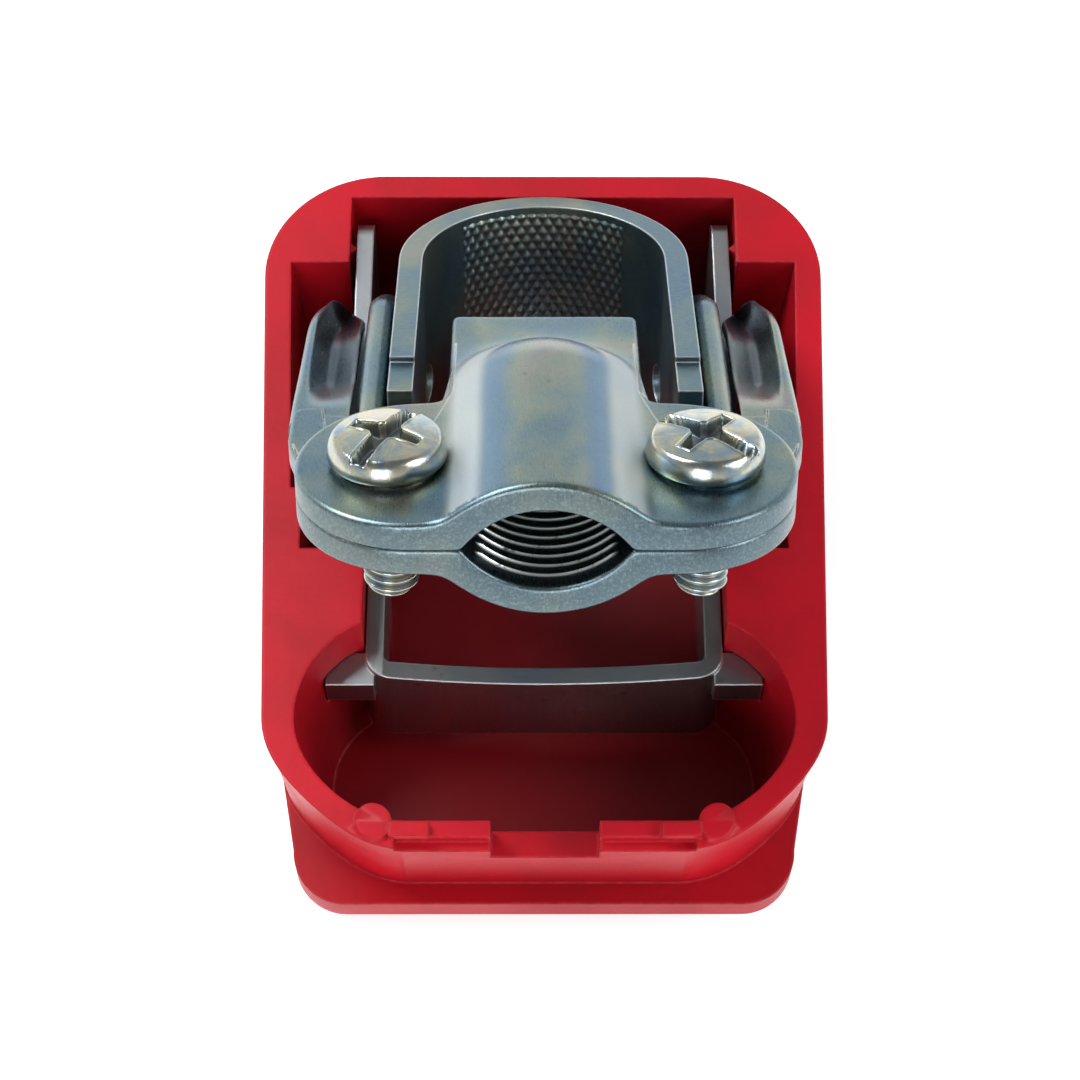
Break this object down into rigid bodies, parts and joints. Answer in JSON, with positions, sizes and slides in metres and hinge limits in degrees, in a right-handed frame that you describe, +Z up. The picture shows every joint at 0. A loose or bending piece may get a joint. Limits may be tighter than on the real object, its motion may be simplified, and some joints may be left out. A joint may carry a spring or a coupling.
{
  "type": "battery terminal clamp",
  "caption": "Quick-release battery terminal clamp: moulded lever cover, steel lever frame, post collar, base plate and screwed cable saddle, shown open.",
  "frame": {"origin": "middle of the flat outer face of the cover, under the bounding box centre", "axes": "X across the clamp, +Y from the lip towards the hinge end of the cover, +Z up out of the cover's open side"},
  "size_m": [0.0468, 0.0622, 0.0454],
  "materials": {
    "moulded_plastic": "satin red moulding",
    "frame_steel": "zinc plated sheet, sheared edges",
    "pin_steel": "yellow zinc plated",
    "plate_steel": "bright zinc plated pressing",
    "collar_steel": "zinc plated, knurled inside",
    "screw_steel": "bright zinc plated"
  },
  "bodies": {
    "clamp_base": {"base_plate": "plate_steel"},
    "lever": {"cover": "moulded_plastic", "lever_frame": "frame_steel", "pin_left": "pin_steel", "pin_right": "pin_steel"},
    "collar": {"collar": "collar_steel"},
    "saddle": {"saddle": "plate_steel"},
    "screw_left": {"screw_left": "screw_steel"},
    "screw_right": {"screw_right": "screw_steel"}
  },
  "joints": [
    {"name": "lever_hinge", "type": "hinge", "parent": "clamp_base", "child": "lever", "pos_m": [0, 0.01395, 0.0123], "axis": [1, 0, 0], "range_deg": [-29, 0]},
    {"name": "collar_slide", "type": "slide", "parent": "clamp_base", "child": "collar", "axis": [0, -0.8746, 0.4848], "range_m": [0, 0.0007263]},
    {"name": "saddle_lift", "type": "slide", "parent": "clamp_base", "child": "saddle", "axis": [0, 0.4848, 0.8746], "range_m": [0, 0.003]},
    {"name": "screw_left_lift", "type": "slide", "parent": "clamp_base", "child": "screw_left", "axis": [0, 0.4848, 0.8746], "range_m": [0, 0.003]},
    {"name": "screw_right_lift", "type": "slide", "parent": "clamp_base", "child": "screw_right", "axis": [0, 0.4848, 0.8746], "range_m": [0, 0.003]}
  ],
  "couplings": [
    {"joint": "collar_slide", "follows": "lever_hinge", "m_per_rad": -0.0014346},
    {"joint": "screw_left_lift", "follows": "saddle_lift", "ratio": 1},
    {"joint": "screw_right_lift", "follows": "saddle_lift", "ratio": 1}
  ]
}
